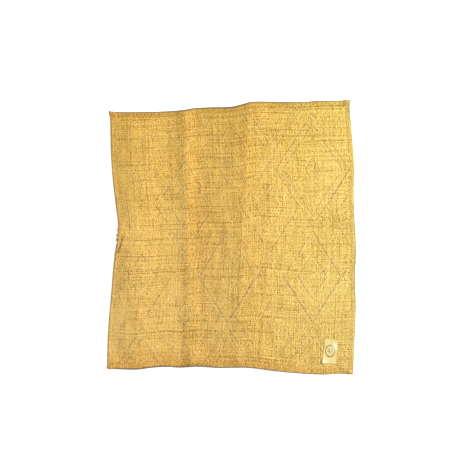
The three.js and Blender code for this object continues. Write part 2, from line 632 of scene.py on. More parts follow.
@dataclass
class Threads:
    """Where the warps and wefts run: an even grid, bent a little as by hand."""

    warp_pitch: float = 2.4
    weft_pitch: float = 2.3
    seed: int = 5
    margin: float = 16
    waves: Array = field(init=False)

    def __post_init__(self) -> None:
        """Draw the waves that bend the grid: long ones, and short ones that bunch the threads."""
        draw = np.random.default_rng(self.seed)
        rows = []
        for reach_low, reach_high, bend, count in ((170, 420, 0.55, 6), (22, 60, 0.09, 8)):
            for _ in range(count):
                rows.append([
                    *(2 * math.pi / draw.uniform(reach_low, reach_high, 2)),
                    *draw.uniform(0, 2 * math.pi, 2),
                    *(bend * draw.uniform(0.5, 1.2, 2)),
                ])
        self.waves = np.array(rows)

    def bend(self, s: Array, t: Array) -> tuple[Array, Array]:
        """Give how far the threads at a panel place are off the even grid.

        Args:
            s: panel places.
            t: panel places.

        Returns:
            The ways along the wefts and along the warps.
        """
        off_s = np.zeros(np.shape(s))
        off_t = np.zeros(np.shape(s))
        for first, second, phase_s, phase_t, bend_s, bend_t in self.waves:
            off_s = off_s + bend_s * np.sin(s * first + 0.4 * t * second + phase_s)
            off_t = off_t + bend_t * np.sin(t * second + 0.4 * s * first + phase_t)
        return off_s, off_t

    def grid_place(self, s: Array, t: Array) -> tuple[Array, Array]:
        """Turn panel places into places on the even grid of threads."""
        off_s, off_t = self.bend(s, t)
        return s + off_s, t + off_t

    def panel_place(self, a: Array, b: Array) -> tuple[Array, Array]:
        """Turn places on the even grid of threads into panel places."""
        s, t = a, b
        for _ in range(4):
            off_s, off_t = self.bend(s, t)
            s, t = a - off_s, b - off_t
        return s, t


@dataclass(frozen=True)
class ToneAndShadingPatch:
    """A broad soft patch of the ground, in panel places, paler than the rest by its tone: partly the
    cloth's own uneven tone, partly painted light and painted shade.
    """

    s: float
    t: float
    reach_s: float
    reach_t: float
    tone: float


# Partly the cloth's own uneven tone and partly painted light and painted shade: darker patches where a
# wave's lit slope is too bright, paler ones where a slope lies in shade.
TONE_AND_SHADING_PATCHES = (
    ToneAndShadingPatch(24, 230, 80, 340, 0.08),
    ToneAndShadingPatch(130, 190, 80, 330, 0.06),
    ToneAndShadingPatch(183, 170, 18, 420, -0.05),
    ToneAndShadingPatch(196, 560, 18, 160, -0.06),
    ToneAndShadingPatch(320, 300, 26, 900, -0.03),
    ToneAndShadingPatch(120, 600, 280, 46, -0.02),
    ToneAndShadingPatch(430, 606, 170, 20, -0.08),
    ToneAndShadingPatch(200, 6, 320, 26, -0.07),
    ToneAndShadingPatch(16, 100, 42, 120, 0.1),
    ToneAndShadingPatch(60, 26, 120, 24, -0.06),
    ToneAndShadingPatch(150, 28, 40, 24, -0.04),
    ToneAndShadingPatch(240, 30, 30, 30, -0.04),
    ToneAndShadingPatch(497, 425, 50, 70, 0.08),
    ToneAndShadingPatch(142, 330, 36, 70, 0.06),
    ToneAndShadingPatch(174, 310, 24, 120, -0.05),
    ToneAndShadingPatch(148, 130, 24, 150, 0.05),
    ToneAndShadingPatch(400, 540, 180, 70, -0.05),
    ToneAndShadingPatch(245, 160, 40, 330, 0.04),
    ToneAndShadingPatch(480, 200, 90, 70, 0.05),
    ToneAndShadingPatch(440, 30, 150, 70, -0.04),
)


@dataclass(frozen=True)
class RaffiaGround:
    """The finish of the cloth: plain-woven straw-gold strands, each of its own tone.

    The pattern reads the cloth's own flat map, so it follows every fold. Grain sizes are in
    millimetres, and strengths are shares of the whole tone from dark to pale.
    """

    strand_strength: float = 0.08
    strand_reach: float = 26
    warp_stroke: float = 0.18
    weft_stroke: float = 0.095
    stroke_reach: float = 6.5
    warp_line: float = 0.09
    weft_line: float = 0.11
    line_reach: float = 150
    weft_bundle: float = 0.04
    bundle_reach: float = 210
    set_off: float = 0.35
    crossing_strength: float = 0.05
    cloud_strength: float = 0.03
    cloud_grain: float = 60
    spot_share: float = 0.03
    spot_strength: float = 0.13
    # Strength of the painted shade in the gaps between the strands at each crossing.
    gap_shade_strength: float = 0.12
    middle: float = 0.512
    relief: float = 0.22
    colours: tuple[tuple[float, Colour], ...] = (
        (0.0, tint(122, 72, 6)),
        (0.22, tint(173, 125, 36)),
        (0.4, tint(208, 166, 77)),
        (0.55, tint(227, 187, 99)),
        (0.72, tint(241, 206, 121)),
        (1.0, tint(254, 228, 150)),
    )
    hem_colour: Colour = tint(214, 150, 78)
    # Painted light: a tint that grows cooler towards the right side, standing for the colour of the light
    # that falls from there.
    left_light_tint: Colour = (0.995, 0.952, 0.985, 1.0)
    right_light_tint: Colour = (0.926, 1.045, 1.17, 1.0)
    upper_tint: Colour = (1.0, 1.0, 0.8, 1.0)
    lower_tint: Colour = (1.012, 0.982, 0.955, 1.0)
    lower_reach: float = 90
    # Painted shade along the four folded edges: a thin dark line where the cloth turns down away from the
    # light, with shares for the left, right, lower and upper folds.
    fold_shade_colour: Colour = tint(118, 108, 90)
    fold_shade: tuple[float, float, float, float] = (0.6, 0.6, 0.95, 0.95)
    # Tone shifts of the left, right, lower and upper hems: partly the hems' own darker tone, partly painted
    # light that lifts the right hem out of its fold's shade.
    hem_tones_and_light: tuple[float, float, float, float] = (-0.03, 0.04, -0.07, -0.065)

    def make(self, threads: Threads, breadth: float, length: float) -> bpy.types.Material:
        """Make the material.

        Args:
            threads: the thread pitches and the flat map's margin.
            breadth: the panel's breadth between its folds.
            length: the panel's length between its folds.

        Returns:
            The finished material.
        """
        shop = NodeShop("raffia_ground")
        flat = shop.node("ShaderNodeUVMap", {"uv_map": UV_NAME}, {})
        u, v, _ = shop.split(flat)
        s = u * (breadth + 2 * threads.margin) - threads.margin
        t = v * (length + 2 * threads.margin) - threads.margin
        warp = (s / threads.warp_pitch).floor()
        weft = (t / threads.weft_pitch).floor()
        across = (s / threads.warp_pitch).fraction() - 0.5
        along = (t / threads.weft_pitch).fraction() - 0.5
        over = ((warp + weft) * 0.5).fraction() > 0.25

        warp_tone = shop.noise(shop.point(warp * 7.31, t / self.strand_reach, 3.0), 1.5, 0.6)
        weft_tone = shop.noise(shop.point(weft * 5.77, s / self.strand_reach, 8.0), 1.5, 0.6)
        tone = over * warp_tone + (1 - over) * weft_tone
        tone = tone * self.strand_strength + self.middle
        tone = tone + self.line(shop, warp, t / self.stroke_reach, 61.0) * self.warp_stroke
        tone = tone + self.line(shop, weft, s / self.stroke_reach, 67.0) * self.weft_stroke
        tone = tone + self.line(shop, warp, t / self.line_reach, 71.0) * self.warp_line
        tone = tone + self.line(shop, weft, s / self.line_reach, 77.0) * self.weft_line
        bundle = (weft / 2).floor()
        tone = tone + self.line(shop, bundle, s / self.bundle_reach, 83.0) * self.weft_bundle
        cloud = shop.noise(shop.point(s / self.cloud_grain, t / self.cloud_grain, 31.0), 2.0)
        tone = tone + cloud * self.cloud_strength
        # Painted light and painted shade, with some of the cloth's own tone, from the patches.
        for patch in TONE_AND_SHADING_PATCHES:
            off_s = (s - patch.s) / patch.reach_s
            off_t = (t - patch.t) / patch.reach_t
            tone = tone + (off_s * off_s + off_t * off_t).rise(1.0, 0.0) * patch.tone

        luck = shop.chance(shop.point(warp, weft, 2.0))
        beside = shop.chance(shop.point(warp + 1, weft, 2.0)) + shop.chance(shop.point(warp, weft + 1, 2.0))
        dark_spot = luck < self.spot_share
        pale_spot = luck > 1 - self.spot_share * 1.6
        tone = tone + (pale_spot - dark_spot) * self.spot_strength
        tone = tone + (luck - 0.5 - (beside - 1) * self.set_off) * self.crossing_strength

        crown = over * self.crown(across, along) + (1 - over) * self.crown(along, across)
        # Painted shade in the gaps between the strands at each crossing.
        gap_shade = crown.rise(0.45, 0.0)
        tone = tone - gap_shade * self.gap_shade_strength
        fibre_warp = shop.noise(shop.point(s * 5.5, t * 0.35, 40.0), 1.0)
        fibre_weft = shop.noise(shop.point(s * 0.35, t * 5.5, 50.0), 1.0)
        fibre = over * fibre_warp + (1 - over) * fibre_weft
        tone = tone + fibre * 0.035

        edge = self.edge_distance(s, breadth).least(self.edge_distance(t, length))
        hem = edge.rise(13.5, 10.5)
        ways = (s, breadth - s, t, length - t)
        # Hem tones: partly the hems' own tone, partly painted light on the right hem.
        for way, lean in zip(ways, self.hem_tones_and_light):
            tone = tone + way.rise(13.0, 10.5) * lean
        colour = shop.ramp(tone.between(0.0, 1.0), self.colours)
        colour = shop.blend(hem * 0.04, colour, self.hem_colour)
        # Painted light: the tint grows cooler towards the right side.
        light_drift = shop.blend((s / breadth).rise(0.35, 1.05), self.left_light_tint, self.right_light_tint)
        colour = shop.blend(1.0, colour, light_drift, "MULTIPLY")
        colour = shop.blend((t / length).between(0.0, 1.0), colour, self.upper_tint, "MULTIPLY")
        colour = shop.blend(t.rise(self.lower_reach, 0.0), colour, self.lower_tint, "MULTIPLY")
        # Painted shade along the four folded edges.
        for way, edge_shade in zip(ways, self.fold_shade):
            colour = shop.blend(abs(way).rise(3.8, 1.2) * edge_shade, colour, self.fold_shade_colour)
        relief = crown * (0.85 + weft_tone * 0.1) + fibre * 0.05
        roughness = 0.74 - crown * 0.12 + fibre * 0.03
        return shop.finish(colour, roughness, shop.bump(relief, self.relief), 0.28)

    def line(self, shop: NodeShop, thread: Wire, along: Wire, seed: float) -> Wire:
        """Give each thread its own tone, set off from those of the threads beside it.

        Args:
            shop: the shop that makes the nodes.
            thread: the thread's number.
            along: the place along the thread, in its reach.
            seed: a number that tells the two directions apart.

        Returns:
            The tone, about 0.
        """
        own, before, after = (
            shop.noise(shop.point((thread + step) * 3.71, along, seed), 0.0) for step in (0, -1, 1)
        )
        return own - (before + after) * self.set_off

    @staticmethod
    def crown(across: Wire, along: Wire) -> Wire:
        """Give the rounded top of a strand where it passes over another.

        Args:
            across: the place across the strand, from -0.5 to 0.5.
            along: the place along the strand, from -0.5 to 0.5.

        Returns:
            A height from 0 at the crossing's rim to 1 in its middle.
        """
        side = 1 - (across * 2.05) ** 2.0
        arch = 1 - (along * 1.75) ** 2.0
        return (side * arch).most(0.0)

    @staticmethod
    def edge_distance(place: Wire, size: float) -> Wire:
        """Give the way inwards from the nearer fold, below 0 on the part turned over."""
        return place.least(size - place)


@dataclass(frozen=True)
class YarnFinish:
    """The finish of loose strands and stitches, by the tone that each one carries."""

    name: str
    colours: tuple[tuple[float, Colour], ...]
    roughness: float
    fibre: float = 0.09

    def make(self) -> bpy.types.Material:
        """Make the material.

        Returns:
            The finished material.
        """
        shop = NodeShop(self.name)
        settings = {"attribute_type": "GEOMETRY", "attribute_name": TONE_NAME}
        tone = shop.node("ShaderNodeAttribute", settings, {}, "Fac")
        place = shop.node("ShaderNodeTexCoord", {}, {}, "Object")
        x, y, z = shop.split(place)
        fine = shop.point(x * 1400, y * 1400, z * 1400)
        fibre = shop.noise(fine, 2.0, 0.6)
        worn = shop.noise(shop.point(x * 160, y * 160, 4.0), 1.0)
        tone = tone + fibre * self.fibre + worn * 0.05
        colour = shop.ramp(tone.between(0.0, 1.0), self.colours)
        roughness = self.roughness + fibre * 0.06
        return shop.finish(colour, roughness, shop.bump(fibre, 0.05), 0.25)


class Yarn(Enum):
    """The strands that are not part of the ground weave."""

    STRAND = YarnFinish(
        "raffia_strand",
        (
            (0.0, tint(98, 60, 6)),
            (0.3, tint(158, 116, 32)),
            (0.6, tint(224, 184, 98)),
            (1.0, tint(254, 226, 150)),
        ),
        0.66,
    )
    EMBROIDERY = YarnFinish(
        "raffia_embroidery",
        (
            (0.0, tint(58, 36, 8)),
            (0.25, tint(114, 84, 36)),
            (0.5, tint(166, 134, 74)),
            (0.75, tint(208, 174, 106)),
            (0.9, tint(234, 203, 138)),
            (1.0, tint(246, 220, 162)),
        ),
        0.7,
    )
    SEWING = YarnFinish(
        "raffia_sewing",
        (
            (0.0, tint(78, 44, 18)),
            (0.5, tint(158, 96, 44)),
            (1.0, tint(226, 172, 96)),
        ),
        0.7,
    )


@dataclass
class YarnHeap:
    """Gathers many short closed lengths of yarn and makes one mesh of them.

    Every length is a chain of places: the first and the last are its tips, and round each place
    between them runs a ring of yarn.
    """

    name: str
    sides: int
    points: list[Array] = field(default_factory=list)
    faces: list[Array] = field(default_factory=list)
    tones: list[Array] = field(default_factory=list)
    count: int = 0
    lengths: int = 0

    def add(self, chains: Array, wide: Array, tall: Array, tone: Array) -> None:
        """Add lengths of yarn.

        Args:
            chains: plan places and heights, one row of places for each length.
            wide: half the breadth at each ring, one row for each length.
            tall: half the height at each ring, one row for each length.
            tone: a tone from 0 to 1 for each length.
        """
        number, places, _ = chains.shape
        if number == 0:
            return
        rings = places - 2
        run = chains[:, 2:] - chains[:, :-2]
        run = run / np.maximum(np.linalg.norm(run, axis=2, keepdims=True), 1e-9)
        across = np.stack([-run[..., 1], run[..., 0], np.zeros_like(run[..., 0])], -1)
        across = across / np.maximum(np.linalg.norm(across, axis=2, keepdims=True), 1e-9)
        up = np.cross(run, across)
        turn = 2 * math.pi * np.arange(self.sides) / self.sides
        ring = (
            chains[:, 1:-1, None]
            + across[:, :, None] * (wide[..., None] * np.cos(turn))[..., None]
            + up[:, :, None] * (tall[..., None] * np.sin(turn))[..., None]
        )
        body = ring.reshape(number, rings * self.sides, 3)
        points = np.concatenate([chains[:, :1], body, chains[:, -1:]], 1)
        each = points.shape[1]
        shape = self.shape(rings)
        start = self.count + each * np.arange(number)
        self.points.append(points.reshape(-1, 3))
        self.faces.append((shape[None] + start[:, None, None]).reshape(-1, 3))
        self.tones.append(np.repeat(tone, each))
        self.count += each * number
        self.lengths += number

    def shape(self, rings: int) -> Array:
        """Give the triangles of one length of yarn.

        Args:
            rings: the number of rings between its tips.

        Returns:
            Rows of three corner numbers, turned outwards.
        """
        last = rings * self.sides + 1
        rows = []
        for k in range(self.sides):
            after = (k + 1) % self.sides
            rows.append((0, 1 + after, 1 + k))
            for ring in range(rings - 1):
                low, high = 1 + ring * self.sides, 1 + (ring + 1) * self.sides
                rows.append((low + k, low + after, high + after))
                rows.append((low + k, high + after, high + k))
            end = 1 + (rings - 1) * self.sides
            rows.append((end + k, end + after, last))
        return np.array(rows)

    def build(self, panel: Panel, yarn: Yarn) -> bpy.types.Object:
        """Make the mesh.

        Args:
            panel: where the cloth lies.
            yarn: which yarn it is.

        Returns:
            The new object.
        """
        places = np.concatenate(self.points)
        made = bpy.data.meshes.new(self.name)
        corners = panel.to_frame(places[:, 0], places[:, 1], places[:, 2])
        made.from_pydata(corners.tolist(), [], np.concatenate(self.faces).tolist())
        tone = made.attributes.new(TONE_NAME, "FLOAT", "POINT")
        tone.data.foreach_set("value", np.concatenate(self.tones).astype(np.float32))
        made.shade_smooth()
        flat = corners[:, :2] / (2 * MM * max(panel.breadth, panel.length) * 0.56) + 0.5
        set_flat_map(made, flat)
        made.materials.append(yarn.value.make())
        piece = bpy.data.objects.new(self.name, made)
        bpy.context.scene.collection.objects.link(piece)
        return piece


def set_flat_map(mesh: bpy.types.Mesh, flat: Array) -> None:
    """Give a mesh its flat map.

    Args:
        mesh: the mesh.
        flat: a place from 0 to 1 each way for each of its points.
    """
    layer = mesh.uv_layers.new(name=UV_NAME)
    corner = np.empty(len(mesh.loops), np.int32)
    mesh.loops.foreach_get("vertex_index", corner)
    layer.data.foreach_set("uv", flat[corner].astype(np.float32).ravel())


def select_only(piece: bpy.types.Object) -> None:
    """Select one object and nothing else, and make it the active one."""
    bpy.ops.object.select_all(action="DESELECT")
    piece.select_set(True)
    bpy.context.view_layer.objects.active = piece


def thicken(piece: bpy.types.Object, thickness: float, shares: Array | None = None) -> None:
    """Give a sheet its thickness, half on each side, and smooth all but its rim.

    Args:
        piece: an object whose mesh is an open sheet.
        thickness: the sheet's thickness in millimetres.
        shares: the share of the thickness at each point, where it isn't even.
    """
    select_only(piece)
    wall = piece.modifiers.new("thickness", "SOLIDIFY")
    wall.thickness = thickness * MM
    wall.offset = 0.0
    if shares is not None:
        group = piece.vertex_groups.new(name="thickness")
        steps = np.round(shares, 2)
        for step in np.unique(steps):
            group.add(np.flatnonzero(steps == step).tolist(), float(step), "REPLACE")
        wall.vertex_group = group.name
    bpy.ops.object.modifier_apply(modifier=wall.name)
    bpy.ops.object.shade_smooth_by_angle(angle=math.radians(62))


def dress(piece: bpy.types.Object, slot: str, *nodes: str) -> None:
    """Make a piece move with the cloth and stand for its solid.

    Args:
        piece: the new piece.
        slot: not used.
        nodes: the solids that it replaces.
    """
    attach(piece, BODY)
    if nodes:
        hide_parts(*nodes)


@dataclass
class Cloth:
    """The panel with its four turned hems, folded out of one sheet.

    A fold is a half round about a line. Both side hems are turned first, and the upper and
    lower hems are turned over them. The hem sizes are what shows of each hem.
    """

    panel: Panel
    threads: Threads
    columns: int = 174
    rows: int = 190
    side_hem: float = 10.5
    end_hem: float = 12.5
    layer_gap: float = 0.05
    puff: float = 0.12
    hem_wander: float = 0.7
    turn_steps: tuple[float, ...] = (0, 0.25, 0.5, 0.75, 1.0)
    flap_steps: tuple[float, ...] = (0.08, 0.18, 0.32, 0.5, 0.68, 0.8, 0.91, 1.0)
    rim: float = 8.0
    rim_share: float = 0.16

    def __post_init__(self) -> None:
        """Work out the fold's own sizes."""
        self.radius = (self.panel.cloth + self.layer_gap) / 2
        self.inset = self.radius + self.panel.cloth / 2
        self.middle = self.panel.cloth / 2

    def hem_steps(self, hem: float) -> Array:
        """Give the places of the grid lines beyond a fold line, along the cloth.

        Args:
            hem: how much of the hem shows.

        Returns:
            Rising distances past the fold line.
        """
        arc = math.pi * self.radius
        turn = arc * np.array(self.turn_steps)
        flap = arc + (hem - self.inset) * np.array(self.flap_steps)
        return np.concatenate([turn, flap])

    def grid_lines(self, size: float, hem: float, count: int) -> Array:
        """Give all grid lines of one direction.

        Args:
            size: the panel's size between its outer edges.
            hem: how much of each hem shows.
            count: the number of steps between the two fold lines.

        Returns:
            Places along the cloth, from 0 at the left or lower fold line.
        """
        beyond = self.hem_steps(hem)
        inner = np.linspace(0, size - 2 * self.inset, count + 1)
        return np.concatenate([-beyond[:0:-1], inner, inner[-1] + beyond[1:]])

    @staticmethod
    def turned(past: Array, high: Array, line: Array) -> tuple[Array, Array]:
        """Turn cloth over a fold.

        Args:
            past: how far past the fold line a place is, along the cloth.
            high: how high its layer is before the fold.
            line: the height of the fold's middle.

        Returns:
            How far outwards of the fold line it comes to lie, and how high.
        """
        radius = line - high
        angle = np.clip(past / radius, 0, math.pi)
        flat = np.maximum(past - math.pi * radius, 0)
        out = radius * np.sin(angle) + np.minimum(past, 0) - flat
        return out, line - radius * np.cos(angle)

    def wander(self, place: Array, phase: float) -> Array:
        """Give how far a hem's free edge wanders from its mean, along the hem."""
        slow = np.sin(place / 47 + phase) + 0.6 * np.sin(place / 19 + 2.3 * phase)
        return self.hem_wander * (slow + 0.5 * np.sin(place / 7.3 + 5 * phase)) / 2

    def shape(self) -> tuple[Array, Array, Array, Array, Array, Array]:
        """Fold the whole sheet.

        Returns:
            Plan places x and y, heights, the flat places s and t, and the share of the
            cloth's thickness, for every grid point.
        """
        panel = self.panel
        flat_s = self.grid_lines(panel.breadth, self.side_hem, self.columns)
        flat_t = self.grid_lines(panel.length, self.end_hem, self.rows)
        s, t = np.meshgrid(flat_s, flat_t, indexing="ij")
        inner_s = panel.breadth - 2 * self.inset
        inner_t = panel.length - 2 * self.inset
        base = np.full_like(s, self.middle)

        side_line = self.middle + self.radius
        in_side, side_high, thin_side = self.fold_ends(s, inner_s, base, side_line, t)
        from_left = np.where(s < inner_s / 2, in_side, panel.breadth - in_side)
        depth = np.minimum(from_left, panel.breadth - from_left)
        flapped = 1 - smooth_step(depth, self.side_hem + 0.6, self.side_hem + 5)
        end_line = self.middle + self.radius * (1 + 2 * flapped)
        in_end, high, thin_end = self.fold_ends(t, inner_t, side_high, end_line, s)
        from_below = np.where(t < inner_t / 2, in_end, panel.length - in_end)
        x, y = panel.lie(from_left, from_below)
        high = high + panel.height(x, y)
        return x, y, high, s + self.inset, t + self.inset, thin_side * thin_end

    def fold_ends(
        self, place: Array, inner: float, high: Array, line: Array | float, beside: Array
    ) -> tuple[Array, Array, Array]:
        """Turn both ends of one direction over.

        Args:
            place: places along the cloth, from 0 at the first fold line.
            inner: the way between the two fold lines.
            high: the layer heights before the fold.
            line: the height of the folds' middle.
            beside: places along the hem, by which its free edge wanders.

        Returns:
            The way inwards from the nearer outer edge, the new heights, and the share of the
            cloth's thickness, which is less at a hem's free edge.
        """
        near = place < inner / 2
        past = np.where(near, -place, place - inner)
        arc = math.pi * self.radius
        loose = np.clip((past - arc) / 6, 0, 1)
        shift = self.wander(beside, np.where(near, 0.7, 2.9)) * loose
        out, new_high = self.turned(past + shift, high, np.asarray(line))
        end = past.max()
        swell = 0.6 + 0.4 * np.sin(beside / 31 + np.where(near, 1.0, 4.0))
        flap = np.clip((past - arc) / (end - arc), 0, 1)
        rise = self.puff * swell * 4 * flap * (1 - flap)
        share = 1 - (1 - self.rim_share) * smooth_step(past, end - self.rim, end)
        press = (1 - share) * self.panel.cloth / 2
        return self.inset - out, new_high + rise - press, share

    def build(self) -> bpy.types.Object:
        """Make the folded sheet.

        Returns:
            The finished cloth.
        """
        x, y, z, s, t, share = self.shape()
        count_s, count_t = x.shape
        number = np.arange(count_s * count_t).reshape(count_s, count_t)
        quads = np.stack(
            [number[:-1, :-1], number[1:, :-1], number[1:, 1:], number[:-1, 1:]], -1
        )
        corners = self.panel.to_frame(x.ravel(), y.ravel(), z.ravel())
        made = bpy.data.meshes.new("raffia_cloth")
        made.from_pydata(corners.tolist(), [], quads.reshape(-1, 4).tolist())
        a, b = self.threads.grid_place(s.ravel(), t.ravel())
        margin = self.threads.margin
        flat_u = (a + margin) / (self.panel.breadth + 2 * margin)
        flat_v = (b + margin) / (self.panel.length + 2 * margin)
        set_flat_map(made, np.stack([flat_u, flat_v], -1))
        ground = RaffiaGround()
        made.materials.append(ground.make(self.threads, self.panel.breadth, self.panel.length))
        piece = bpy.data.objects.new("raffia_cloth", made)
        bpy.context.scene.collection.objects.link(piece)
        thicken(piece, self.panel.cloth, share.ravel())
        return piece

    def cut_size(self) -> tuple[float, float]:
        """Give the size that the cloth was cut to, in metres."""
        side = self.hem_steps(self.side_hem)[-1] - self.inset
        end = self.hem_steps(self.end_hem)[-1] - self.inset
        return (self.panel.breadth + 2 * side) * MM, (self.panel.length + 2 * end) * MM


@dataclass(frozen=True)
class Streak:
    """A run of single strands in a darker or paler tone, along the wefts or along the warps.

    For a weft, at is t and start and end are s; for a warp the other way round. Every second
    crossing shows, as in plain weave. strands is how many lie side by side.
    """

    at: float
    start: float
    end: float
    tone: float
    strands: int = 1
    shown: float = 0.9


# The few darkest wefts, read and rounded to 5 mm, from the upper edge down.
WEFT_STREAKS = (
    Streak(590, 325, 550, 0.3, 1, 0.7),
    Streak(545, 10, 320, 0.3, 1, 0.8),
    Streak(490, 205, 290, 0.3, 1, 0.7),
    Streak(400, 10, 210, 0.3, 1, 0.8),
    Streak(375, 95, 250, 0.3, 1, 0.8),
    Streak(340, 15, 290, 0.25, 1, 0.85),
    Streak(305, 10, 275, 0.3, 1, 0.8),
    Streak(265, 10, 280, 0.3, 1, 0.75),
    Streak(230, 15, 420, 0.3, 1, 0.8),
    Streak(210, 15, 300, 0.35, 1, 0.7),
    Streak(120, 195, 405, 0.3, 1, 0.8),
    Streak(85, 25, 380, 0.3, 1, 0.7),
    Streak(70, 25, 330, 0.3, 1, 0.7),
    Streak(25, 255, 390, 0.25, 1, 0.8),
)
# The few darkest warps, read the same way, from the left edge on.
WARP_STREAKS = (
    Streak(135, 420, 600, 0.3, 1, 0.75),
    Streak(170, 20, 430, 0.35, 1, 0.6),
    Streak(220, 380, 600, 0.35, 1, 0.55),
)


@dataclass
class AccentStrands:
    """Single strands of the weave that stand out from it, each a row of small floats."""

    panel: Panel
    threads: Threads
    keep_off: "Label"
    half_wide: float = 0.66
    half_tall: float = 0.3
    reach: float = 2.8
    seed: int = 23
    weft_runs: int = 330
    warp_runs: int = 260
    run_low: float = 10
    run_high: float = 75
    bold_wefts: int = 20
    bold_warps: int = 22
    bold_low: float = 100
    bold_high: float = 330
    bold_tone: tuple[float, float] = (0.3, 0.4)

    def crossings(self, streak: Streak, weft: bool, draw: np.random.Generator) -> Array:
        """Find the crossings where a streak's strands are on top.

        Args:
            streak: the streak.
            weft: whether it runs along the wefts.
            draw: the source of chance.

        Returns:
            Rows of grid place a, grid place b and tone.
        """
        own, other = self.threads.weft_pitch, self.threads.warp_pitch
        if not weft:
            own, other = other, own
        rows = []
        first = int(streak.at // own)
        for line in range(first, first + streak.strands):
            cells = np.arange(int(streak.start // other), int(streak.end // other))
            cells = cells[(cells + line) % 2 == (0 if weft else 1)]
            cells = cells[draw.random(len(cells)) < streak.shown]
            along = (cells + 0.5) * other
            across = np.full_like(along, (line + 0.5) * own)
            tone = streak.tone + draw.normal(0, 0.07, len(cells))
            pair = (along, across) if weft else (across, along)
            rows.append(np.stack([*pair, tone], 1))
        return np.concatenate(rows)

    def loose_runs(self, weft: bool, draw: np.random.Generator) -> list[Streak]:
        """Draw short runs all over the panel.

        Args:
            weft: whether they run along the wefts.
            draw: the source of chance.

        Returns:
            The runs.
        """
        panel = self.panel
        far, wide = (panel.breadth, panel.length) if weft else (panel.length, panel.breadth)
        runs = []
        for _ in range(self.weft_runs if weft else self.warp_runs):
            start = draw.uniform(16, far - 40)
            end = min(start + draw.uniform(self.run_low, self.run_high), far - 16)
            tone = draw.choice([0.3, 0.4, 0.47, 0.74, 0.84], p=[0.14, 0.32, 0.24, 0.2, 0.1])
            runs.append(Streak(draw.uniform(16, wide - 16), start, end, tone, 1, 0.8))
        for _ in range(self.bold_wefts if weft else self.bold_warps):
            start = draw.uniform(10, far - self.bold_low)
            end = min(start + draw.uniform(self.bold_low, self.bold_high), far - 16)
            tone = draw.uniform(*self.bold_tone)
            runs.append(Streak(draw.uniform(16, wide - 16), start, end, tone, 1, 0.7))
        return runs

    def build(self, weft: bool) -> bpy.types.Object:
        """Make the strands of one direction.

        Args:
            weft: whether to make the wefts or the warps.

        Returns:
            The new object.
        """
        draw = np.random.default_rng(self.seed + int(weft))
        streaks = list(WEFT_STREAKS if weft else WARP_STREAKS) + self.loose_runs(weft, draw)
        cells = np.concatenate([self.crossings(streak, weft, draw) for streak in streaks])
        a, b, tone = cells.T
        s, t = self.threads.panel_place(a, b)
        x, y = self.panel.lie(s, t)
        clear = ~self.keep_off.covers(x, y)
        inside = (s > 15) & (s < self.panel.breadth - 15) & (t > 16) & (t < self.panel.length - 16)
        keep = clear & inside
        s, t, tone = s[keep], t[keep], tone[keep]
        shares = np.array([-1.0, -0.5, 0.5, 1.0]) * self.reach
        step_s, step_t = (shares, 0 * shares) if weft else (0 * shares, shares)
        x, y = self.panel.lie(s[:, None] + step_s, t[:, None] + step_t)
        z = self.panel.top(x, y) + np.array([-0.14, -0.02, -0.02, -0.14])
        heap = YarnHeap("weft_strands" if weft else "warp_strands", 4)
        grow = draw.uniform(0.85, 1.15, (len(s), 1))
        ones = np.ones((1, 2))
        chains = np.stack([x, y, z], -1)
        heap.add(chains, self.half_wide * grow * ones, self.half_tall * grow * ones, tone)
        return heap.build(self.panel, Yarn.STRAND)


@dataclass(frozen=True)
class Run:
    """A straight run of broken stitches, in plan, and how clearly it shows, from 0 to 1."""

    x0: float
    y0: float
    x1: float
    y1: float
    strength: float


@dataclass(frozen=True)
class Knots:
    """A few dark knots and yarn ends near one another, in plan."""

    x: float
    y: float
    spread_x: float
    spread_y: float
    count: int


@dataclass(frozen=True)
class Nest:
    """Lozenges one inside another, as one middle of the embroidery's repeat has them.

    column counts half repeats from the left. half_sizes are the half breadth and half height of
    each lozenge, and clear says how clearly each one's stitches show, from 0 to 1.
    """

    column: int
    y: float
    half_sizes: tuple[tuple[float, float], ...]
    clear: tuple[float, ...]

    def runs(self, draw: np.random.Generator) -> list[Run]:
        """Give the sides of the lozenges, some clearer than others.

        Args:
            draw: the source of chance.

        Returns:
            The runs of stitches.
        """
        x = FIRST_COLUMN + self.column * HALF_REPEAT
        runs = []
        for (half_wide, half_tall), clear in zip(self.half_sizes, self.clear):
            right, left = (x + half_wide, self.y), (x - half_wide, self.y)
            top, bottom = (x, self.y + half_tall), (x, self.y - half_tall)
            for start, end in ((top, right), (bottom, right), (bottom, left), (top, left)):
                runs.append(Run(*start, *end, clear * draw.uniform(*UNEVEN)))
        return [run for run in runs if run.strength > FAINTEST]


# One repeat of the chart is 195 by 245 mm: a large nest, and a small one half a repeat away.
FIRST_COLUMN = -205.0
HALF_REPEAT = 97.5
